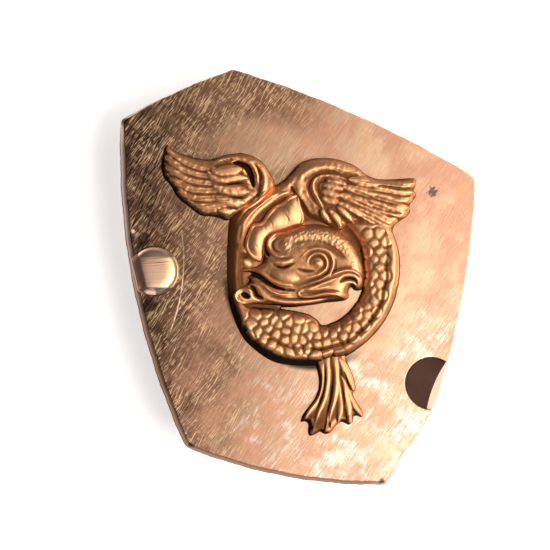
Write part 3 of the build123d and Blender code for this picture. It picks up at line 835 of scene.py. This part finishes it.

# %% [markdown]
# ## Copper, and how to make it old
# Everything seen here is copper. Clean copper reflects red and orange far better than blue, so
# its colour is all in the metallic base colour. Handling leaves a brown film that is thickest in
# hollows and at the foot of walls; a stored value on each relief vertex drives it, together with painted
# shade on the walls that face away from the light.
# One function adds every node. A table says what its words stand for, and a word that is not
# in the table is an operation of the Math node.

# %% Material tools
def rgb(code):
    """A hex sRGB colour as linear light."""
    parts = [int(code[i:i + 2], 16) / 255 for i in (1, 3, 5)]
    return (*[c / 12.92 if c <= 0.04045 else ((c + 0.055) / 1.055) ** 2.4 for c in parts], 1)


KINDS = {                      # each node's type, its inputs in order, its settings and the output used
    "place": ("ShaderNodeTexCoord", (), {}, "Object"),
    "axes": ("ShaderNodeSeparateXYZ", (0,), {}, 0),
    "stored": ("ShaderNodeAttribute", (), {}, "Fac"),
    "far": ("ShaderNodeVectorMath", (0, 1), {"operation": "DISTANCE"}, "Value"),
    "turn": ("ShaderNodeMapping", ("Vector", "Rotation", "Scale"), {}, 0),
    "noise": ("ShaderNodeTexNoise", ("Vector", "Scale", "Detail", "Roughness"), {}, 0),
    "cells": ("ShaderNodeTexVoronoi", ("Vector", "Scale"), {"voronoi_dimensions": "2D"}, "Distance"),
    "channel": ("ShaderNodeSeparateColor", (0,), {}, 0),
    "ease": ("ShaderNodeMapRange", ("Value", "From Min", "From Max"),
             {"interpolation_type": "SMOOTHSTEP"}, 0),     # 0 at the first, 1 at the second
    "mix": ("ShaderNodeMix", (0, 6, 7), {"data_type": "RGBA"}, 2),
    "bump": ("ShaderNodeBump", ("Strength", "Distance", "Height"), {}, 0),
}


def feed(node, inputs):
    """Sets a node's inputs to values, or links sockets to them."""
    for key, value in inputs.items():
        if isinstance(value, bpy.types.NodeSocket):
            node.id_data.links.new(value, node.inputs[key])
        else:
            node.inputs[key].default_value = value


def add(tree, kind, *values, **settings):
    """Adds a node and gives its output; a kind that is not in the table is a Math operation."""
    math_kind = ("ShaderNodeMath", (0, 1), {"operation": kind}, 0)
    node_type, inputs, own, output = KINDS.get(kind, math_kind)
    node = tree.nodes.new(node_type)
    for key, value in {**own, **settings}.items():
        setattr(node, key, value)
    feed(node, dict(zip(inputs, values)))
    return node.outputs[output]


def new_material(name):
    """A material, what adds a node to it, and its shader."""
    material = bpy.data.materials.new(name)
    material.use_nodes = True
    return material, partial(add, material.node_tree), material.node_tree.nodes["Principled BSDF"]


# %% Patterns in millimetres
def across(size):
    """The scale of a noise whose blobs are about size millimetres across."""
    return 1 / (size * MM)


def scratches(node, place, angle, length, width, detail=2.0):
    """Noise drawn out along one direction: streaks of that length and width in millimetres."""
    turned = node("turn", place, (0, 0, -math.radians(angle)))
    drawn = node("turn", turned, (0, 0, 0), (across(length), across(width), across(2)))
    return node("noise", drawn, 1.0, detail)


def flecks(node, place, angle, length, width, share):
    """Crisp short dashes along one direction; share is how much of the ground has them."""
    turned = node("turn", place, (0, 0, -math.radians(angle)), (1, 1, 0))
    drawn = node("turn", turned, (0, 0, 0), (across(length), across(width), 1))
    cells = node("cells", drawn, 1.0)
    chance = node("channel", cells.node.outputs["Color"])
    return node("MULTIPLY", node("ease", cells, 0.5, 0.1), node("ease", chance, 1 - share, 1))


# %% [markdown]
# ### The flan's brushed and scratched copper
# The sheet was rubbed with coarse emery by hand. That leaves crossing streaks, mostly rising to
# the right. The left part kept its brown film between the scratches, made darker still by painted shade,
# while the lower right was rubbed bright and carries a painted highlight where it mirrors the light. The
# streaks change colour, roughness and, through a bump, the way light runs.

# %% Flan copper
GRIME_SPOTS = [(-27.6, 20.4, 1.1), (10.1, -32.0, 0.8), (-17.6, -26.6, 0.7), (-23.6, -6.3, 1.7),
               (-24.4, 3.2, 1.4)]


def circle_through(a, b, c):
    """Centre and radius of the circle through three points."""
    (ax, ay), (bx, by), (cx, cy) = a, b, c
    d = 2 * (ax * (by - cy) + bx * (cy - ay) + cx * (ay - by))
    ux = ((ax**2 + ay**2) * (by - cy) + (bx**2 + by**2) * (cy - ay) + (cx**2 + cy**2) * (ay - by)) / d
    uy = ((ax**2 + ay**2) * (cx - bx) + (bx**2 + by**2) * (ax - cx) + (cx**2 + cy**2) * (bx - ax)) / d
    return ux, uy, math.hypot(ax - ux, ay - uy)


def flan_copper():
    material, node, shader = new_material("flan_copper")

    def far_from(cx, cy, cz=FACE):
        """How many millimetres a spot is from a point."""
        return node("MULTIPLY", node("far", place, (cx * MM, cy * MM, cz * MM)), 1 / MM)

    def ellipse(cx, cy, wide, tall):
        """How far out a spot is in an ellipse with those half axes: 1 on its edge."""
        parts = ((x, cx, wide), (y, cy, tall))
        squares = (node("POWER", node("DIVIDE", node("SUBTRACT", v, c), r), 2.0) for v, c, r in parts)
        return node("SQRT", node("ADD", *squares))

    place = node("place")
    x, y, z = (node("MULTIPLY", axis, 1 / MM) for axis in node("axes", place).node.outputs)
    on_face = node("ease", z, FACE - 0.25, FACE - 0.02)
    # film, partly real patina and partly painted shade that darkens the left: full at the left and along the
    # top edge, thin in a cloud above the wings
    slope = node("MULTIPLY", node("ABSOLUTE", node("ADD", x, 11.5)), 0.44)
    top_edge = node("SUBTRACT", y, node("SUBTRACT", 27.9, slope))
    band = node("MULTIPLY", node("ease", top_edge, -7.5, -2.5), node("ease", x, 7, -6))
    cloud = ellipse(-8.5, 17.5, 9.5, 4.2)
    film_and_shade = node("ADD", node("MULTIPLY", x, -0.044), node("MULTIPLY", band, 0.45))
    film_and_shade = node("SUBTRACT", node("ADD", film_and_shade, node("MULTIPLY", y, 0.006)),
                node("MULTIPLY", node("ease", cloud, 1.4, 0.4), 0.3))
    patches = node("SUBTRACT", node("noise", place, across(5), 5, 0.65), 0.5)
    film_and_shade = node("ADD", film_and_shade, node("MULTIPLY", patches, 1.5))
    film_and_shade = node("MULTIPLY", node("ease", film_and_shade, -0.25, 0.85), on_face)
    # streaks of the emery in two crossing families, and crisp scratches and flecks over them
    low_streaks = scratches(node, place, 48, 3, 0.14, 5)
    steep_streaks = scratches(node, place, 62, 2, 0.11, 5)
    nicks = node("ADD", flecks(node, place, 54, 1.3, 0.14, 0.35), flecks(node, place, 44, 0.8, 0.13, 0.28))
    nicks = node("ADD", nicks, node("ADD", flecks(node, place, 66, 5, 0.17, 0.3),
                                    flecks(node, place, 50, 4, 0.16, 0.3)))
    busy = node("ease", node("noise", place, across(4), 4, 0.6), 0.36, 0.62)
    strokes = node("ADD", node("MULTIPLY", node("ease", low_streaks, 0.5, 0.7), 0.3),
                   node("MULTIPLY", node("ease", steep_streaks, 0.52, 0.7), 0.25))
    often = node("ADD", 0.25, node("MULTIPLY", busy, 0.75))
    crisp = node("MULTIPLY", node("MULTIPLY", nicks, 0.75), often)
    strokes = node("ADD", strokes, crisp, use_clamp=True)
    # rubbed copper: pink, orange and cream, in blotches and along the streaks
    streak = node("MULTIPLY", node("SUBTRACT", node("ADD", low_streaks, steep_streaks), 1.0), 1.1)
    blotches = node("ease", node("noise", place, across(5), 5, 0.62), 0.38, 0.68)
    cream = node("ADD", node("MULTIPLY", blotches, 0.8), streak, use_clamp=True)
    rubbed_and_highlight = node("mix", cream, rgb("#DCA385"), rgb("#F6D0A8"))
    amber = node("ease", node("ADD", node("noise", place, across(3.5), 4, 0.6),
                              node("MULTIPLY", streak, 0.25)), 0.54, 0.7)
    rubbed_and_highlight = node("mix", node("MULTIPLY", amber, 0.5), rubbed_and_highlight, rgb("#F0B27A"))
    # painted highlight: near-white blotches and streaks towards the lower right, where the plate mirrors the
    # light
    lower_right_highlight = node("ADD", node("noise", place, across(2.8), 5, 0.65),
                node("MULTIPLY", node("SUBTRACT", x, y), 0.004))
    lower_right_highlight = node("MULTIPLY", node("ease", node("ADD", lower_right_highlight, node("MULTIPLY", streak, 0.45)), 0.56, 0.84),
                node("ease", node("SUBTRACT", node("MULTIPLY", x, 0.35), y), 8, 19))
    rubbed_and_highlight = node("mix", node("MULTIPLY", lower_right_highlight, 0.85), rubbed_and_highlight, rgb("#FFF6E6"))
    # the film's colour runs to near black towards the left: partly patina, partly painted shade
    black = node("ADD", node("MULTIPLY", x, -0.05), node("noise", place, across(3), 5, 0.6))
    dark = node("mix", node("ease", black, 1.25, 1.75), rgb("#765440"), rgb("#201109"))
    dark = node("mix", node("MULTIPLY", node("ease", steep_streaks, 0.4, 0.7), 0.5), dark, rgb("#8C6650"))
    cover = node("MULTIPLY", film_and_shade, node("SUBTRACT", 1.0, node("MULTIPLY", strokes, 0.6)))
    base = node("mix", cover, rubbed_and_highlight, dark)
    glint = node("MULTIPLY", node("MULTIPLY", nicks, node("ADD", 0.35, busy)), node("ease", film_and_shade, 0.2, 1.0),
                 use_clamp=True)
    base = node("mix", node("MULTIPLY", glint, 0.85), base, rgb("#F3CB9C"))
    # the sheared edge and the roll next to it were never rubbed: dull, and browner lower down; on the right
    # they are paler, a painted highlight for the sides that face the light
    height = node("ADD", y, node("MULTIPLY", node("noise", place, across(4), 5), 14))
    edge = node("mix", node("ease", height, 19, -11), rgb("#B5998A"), rgb("#96705A"))
    edge = node("mix", node("ease", node("ADD", x, node("MULTIPLY", y, 0.15)), 3, 9), edge, rgb("#F5D3BE"))
    base = node("mix", node("ease", z, FACE - 0.03, FACE - 0.16), base, edge)
    # painted shadow on the flan at the foot of the coil, at the left and the bottom
    coil_round = ellipse(0.2, -1.4, 12.6, 13.6)
    lower_left = node("ease", node("ADD", node("MULTIPLY", x, -0.6), node("MULTIPLY", y, -1.0)), 7.0, 13.0)
    coil_foot_shadow = node("MULTIPLY", node("MULTIPLY", on_face, node("ease", coil_round, 1.08, 1.02)),
                node("MULTIPLY", lower_left, 0.9))
    base = node("mix", node("MULTIPLY", coil_foot_shadow, node("ease", coil_round, 0.9, 0.98)), base, rgb("#170A04"))
    # a scribed arc on the left, and a sawn-off bright burr above the stud
    cx, cy, radius = circle_through((-19.05, 4.9), (-18.65, -0.4), (-20.35, -9.5))
    off_arc = node("ABSOLUTE", node("SUBTRACT", far_from(cx, cy), radius))
    scribed = node("MULTIPLY", node("ease", off_arc, 0.11, 0.04),
                   node("MULTIPLY", node("ease", y, -10.6, -9), node("ease", y, 5.2, 4)))
    gaps = node("ease", node("noise", place, across(0.7), 3), 0.3, 0.5)
    clearer = node("ADD", 0.3, node("MULTIPLY", node("ease", y, 0, -4), gaps))
    scribed = node("MULTIPLY", scribed, clearer)
    scribed = node("MULTIPLY", scribed, node("LESS_THAN", node("ABSOLUTE", node("ADD", x, 19.6)), 1.2))
    scribed = node("MAXIMUM", scribed, node("ease", far_from(-26.0, 4.4), 0.35, 0.2))
    base = node("mix", node("MULTIPLY", node("MULTIPLY", scribed, on_face), 0.85), base, rgb("#FFDFB8"))
    # the socket's floor kept its brown skin, which ends along a hollow arc just inside the
    # flan's side; the outer edge beyond it is painted pale, a painted highlight standing in for the lit side
    # of the flan
    ax, ay, reach_out = circle_through((19.45, -14.75), (17.75, -18.0), (16.75, -21.6))
    pale_lit_band = node("LESS_THAN", far_from(ax, ay, SOCKET_FLOOR), reach_out)
    in_socket = node("MULTIPLY", node("MULTIPLY", node("ease", z, 1.5, 1.3), node("GREATER_THAN", z, 0.6)),
                     node("LESS_THAN", far_from(*SOCKET, SOCKET_FLOOR), SOCKET_RADIUS + 0.05))
    base = node("mix", in_socket, base, rgb("#E9BFA6"))
    in_socket = node("MULTIPLY", in_socket, node("SUBTRACT", 1.0, pale_lit_band))
    base = node("mix", in_socket, base,
                node("mix", node("noise", place, across(2.5), 3), rgb("#42302A"), rgb("#5C4238")))
    punch = node("ease", node("ADD", far_from(17.5, 10.4),
                              node("MULTIPLY", node("noise", place, across(0.5), 4), 1.6)), 1.75, 1.15)
    base = node("mix", node("MULTIPLY", punch, 0.85), base, rgb("#5B5358"))
    for sx, sy, size in GRIME_SPOTS:
        ragged = node("ADD", far_from(sx, sy),
                      node("MULTIPLY", node("SUBTRACT", node("noise", place, across(0.7), 3), 0.5), size))
        base = node("mix", node("MULTIPLY", node("ease", ragged, size, size * 0.4), 0.85), base,
                    rgb("#2E1A10"))
    rough = node("ADD", 0.36, node("MULTIPLY", cover, 0.12))
    rough = node("ADD", rough, node("MULTIPLY", in_socket, 0.25))
    grooves = node("ADD", node("MULTIPLY", low_streaks, 0.9),
                   node("ADD", node("MULTIPLY", steep_streaks, 0.8), node("MULTIPLY", nicks, -0.3)))
    grooves = node("MULTIPLY", grooves, node("ADD", 0.25, node("MULTIPLY", on_face, 0.75)))
    grooves = node("SUBTRACT", node("ADD", grooves, node("noise", place, across(4), 2)),
                   node("MULTIPLY", punch, 2.0))
    bump = node("bump", 0.3, 0.035 * MM, grooves)
    feed(shader, {"Base Color": base, "Metallic": 1.0, "Roughness": rough, "Normal": bump})
    return material


# %% [markdown]
# ### The relief's toned copper
# The relief was struck against polished steel, so it is satin and even. Brown tone gathers in
# every hollow and along the walls; on walls that face away from the light, and near black in the deepest
# cuts, it is painted shade. The tops of the ridges are rubbed clean.

# %% Relief copper
def relief_copper():
    material, node, shader = new_material("relief_copper")
    place = node("place")
    patches = node("MULTIPLY", node("SUBTRACT", node("noise", place, across(1.2), 4), 0.5), 0.35)
    tone = node("ADD", node("stored", attribute_name="tone"), patches)
    cover = node("ease", tone, 0.12, 0.76)
    base = node("mix", cover, rgb("#E6A877"), rgb("#774823"))
    # painted shadow: the highest tone goes near black in the deepest cuts and on the walls that face away
    # from the light
    base = node("mix", node("ease", tone, 0.98, 1.65), base, rgb("#1A0A03"))
    # the brown film is an oxide: it scatters some light instead of mirroring it
    metallic = node("SUBTRACT", 1.0, node("MULTIPLY", cover, 0.62))
    rough = node("ADD", 0.5, node("MULTIPLY", cover, 0.12))
    bump = node("bump", 0.25, 0.025 * MM, node("noise", place, across(0.4), 4, 0.65))
    feed(shader, {"Base Color": base, "Metallic": metallic, "Specular IOR Level": 0.25, "Roughness": rough,
                  "Normal": bump})
    return material


# %% [markdown]
# ### Filed copper, wire, braze and the brass pin
# The stud's top was filed across, from left to right, and never toned: bright, with fine level
# streaks. The lugs are drawn copper wire, the braze is a dull silver alloy, and the pin is brass.

# %% Plain metals
def streaked_metal(name, light, dark, rough, angle, length, width):
    """A metal with streaks of that length and width in millimetres, as drawing or a file leaves."""
    material, node, shader = new_material(name)
    place = node("place")
    streaks = scratches(node, place, angle, length, width)
    base = node("mix", node("ease", streaks, 0.38, 0.62), rgb(dark), rgb(light))
    bump = node("bump", 0.4, 0.02 * MM, streaks)
    feed(shader, {"Base Color": base, "Metallic": 1.0, "Roughness": rough, "Normal": bump})
    return material


def filed_copper():
    """The stud: a bright filed band with level file marks, a facet above it darkened by painted shade, and a
    dull facet below it.
    """
    material, node, shader = new_material("filed_copper")
    place = node("place")
    x, y, _ = (node("MULTIPLY", axis, 1 / MM) for axis in node("axes", place).node.outputs)
    lines = scratches(node, place, 3, 8, 0.13, 3)
    base = node("mix", node("ease", x, -24, -20), rgb("#EDBFA2"), rgb("#F6D0A0"))
    marks = node("ADD", 0.2, node("MULTIPLY", node("ease", y, -1.2, 0), 0.9))
    marks = node("MULTIPLY", node("ease", lines, 0.5, 0.62), marks)
    base = node("mix", marks, base, rgb("#9A6F52"))
    # painted shade: the facet above the band faces away from the light
    upper_facet_shade = node("mix", node("noise", place, across(1.6), 3), rgb("#8C6E5A"), rgb("#E0B8A0"))
    base = node("mix", node("ease", y, 0.5, 0.7), base, upper_facet_shade)
    base = node("mix", node("ease", y, -3.65, -3.9), base, rgb("#7A6A5E"))
    flank = node("ADD", x, node("MULTIPLY", y, 0.24))
    base = node("mix", node("ease", flank, -24.75, -25.05), base, rgb("#B98B76"))
    # a burr was left bright at the lower left
    away = node("far", place, (-23.4 * MM, -4.5 * MM, (FACE + 0.4) * MM))
    base = node("mix", node("ease", away, 0.9 * MM, 0.5 * MM), base, rgb("#F2CDB8"))
    bump = node("bump", 0.3, 0.03 * MM, lines)
    feed(shader, {"Base Color": base, "Metallic": 1.0, "Roughness": 0.42, "Normal": bump})
    return material


FINISHES = {
    "flan_copper": flan_copper(),
    "relief_copper": relief_copper(),
    "filed_copper": filed_copper(),
    "lug_wire": streaked_metal("lug_wire", "#C98A62", "#9A6040", 0.36, 90, 3, 0.2),
    "braze": streaked_metal("braze", "#CDB98E", "#9D8A66", 0.5, 20, 0.6, 0.5),
    "pin_brass": streaked_metal("pin_brass", "#E2C27C", "#B8935A", 0.28, 0, 5, 0.2),
}


def dress(piece, slot):
    piece.data.materials.clear()
    piece.data.materials.append(FINISHES[slot])


for piece in (coil, frill, head, left_wing, right_wing, tail):
    dress(piece, "relief_copper")
dress(flan, "flan_copper")
dress(stud, "filed_copper")
for entry in frame["record"]["subparts"]:
    node = frame["nodes"][entry["node"]]
    if not node.hide_render:
        dress(node, entry["material_slot"])
print("finishes", sorted(FINISHES))

# %% [markdown]
# ## Floor, light and camera
# The badge stands on its lugs on a backlit sheet of opal acrylic, the usual way to get a
# pure white ground with hardly any shadow. One large soft light hangs over the lower right.
# The left side gets almost nothing, which, with the painted shade in the flan's film, makes the copper run
# from pale to dark brown.

# %% Floor
def make_floor():
    bm = bmesh.new()
    bmesh.ops.create_grid(bm, x_segments=2, y_segments=2, size=0.6)
    bmesh.ops.translate(bm, verts=bm.verts, vec=(0, 0, low[2]))
    mesh = bpy.data.meshes.new("floor")
    bm.to_mesh(mesh)
    bm.free()
    floor = bpy.data.objects.new("floor", mesh)
    bpy.context.scene.collection.objects.link(floor)
    floor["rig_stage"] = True
    material, _, shader = new_material("opal_acrylic")
    feed(shader, {"Base Color": rgb("#F4F4F2"), "Roughness": 0.6, "Emission Color": rgb("#FFFFFF"),
                  "Emission Strength": 0.62})
    mesh.materials.append(material)
    return floor


floor = make_floor()


# %% Lights
LIGHT_DISTANCE = 0.6           # metres


def soft_light(name, towards, size, power, colour):
    """A square soft light, hung towards a direction from the badge and aimed at it."""
    data = bpy.data.lights.new(name, "AREA")
    data.shape, data.size, data.energy = "SQUARE", size, power
    data.color = rgb(colour)[:3]
    light = bpy.data.objects.new(name, data)
    aim = Vector(towards).normalized()
    light.location = aim * LIGHT_DISTANCE
    light.rotation_euler = aim.to_track_quat("Z", "Y").to_euler()
    bpy.context.scene.collection.objects.link(light)
    light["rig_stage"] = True
    return light


soft_light("key", (0.62, -0.3, 1.0), 0.42, 3.85, "#FFFAF6")
soft_light("side", (1.0, 0.45, 0.6), 0.3, 1.6, "#FFFAF4")
world = bpy.data.worlds.new("studio")
world.use_nodes = True
feed(world.node_tree.nodes["Background"], {"Color": rgb("#E8ECF0"), "Strength": 0.13})
bpy.context.scene.world = world


# %% Camera
FRAME_WIDTH = 79.75            # mm seen at the face
SENSOR = 36


def make_camera():
    target = Vector((-5.4, -1.9, FACE)) * MM
    tilt, heading, distance = math.radians(4.5), math.radians(212), 0.45
    away = Vector((math.sin(tilt) * math.cos(heading), math.sin(tilt) * math.sin(heading), math.cos(tilt)))
    data = bpy.data.cameras.new("camera")
    data.sensor_width = SENSOR
    data.lens = SENSOR * distance / (FRAME_WIDTH * MM)
    data.clip_start = 0.01
    camera = bpy.data.objects.new("camera", data)
    up = Vector((0, 1, 0))
    side = up.cross(away).normalized()
    camera.matrix_world = Matrix((side, away.cross(side), away)).transposed().to_4x4()
    camera.location = target + away * distance
    bpy.context.scene.collection.objects.link(camera)
    bpy.context.scene.camera = camera


make_camera()
bpy.context.scene.view_settings.view_transform = "Standard"
bpy.context.scene.view_settings.look = "None"

# %% Sizes, and the finish
low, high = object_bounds()
print("visual box in mm", [[round(c / MM, 2) for c in corner] for corner in (low, high)])
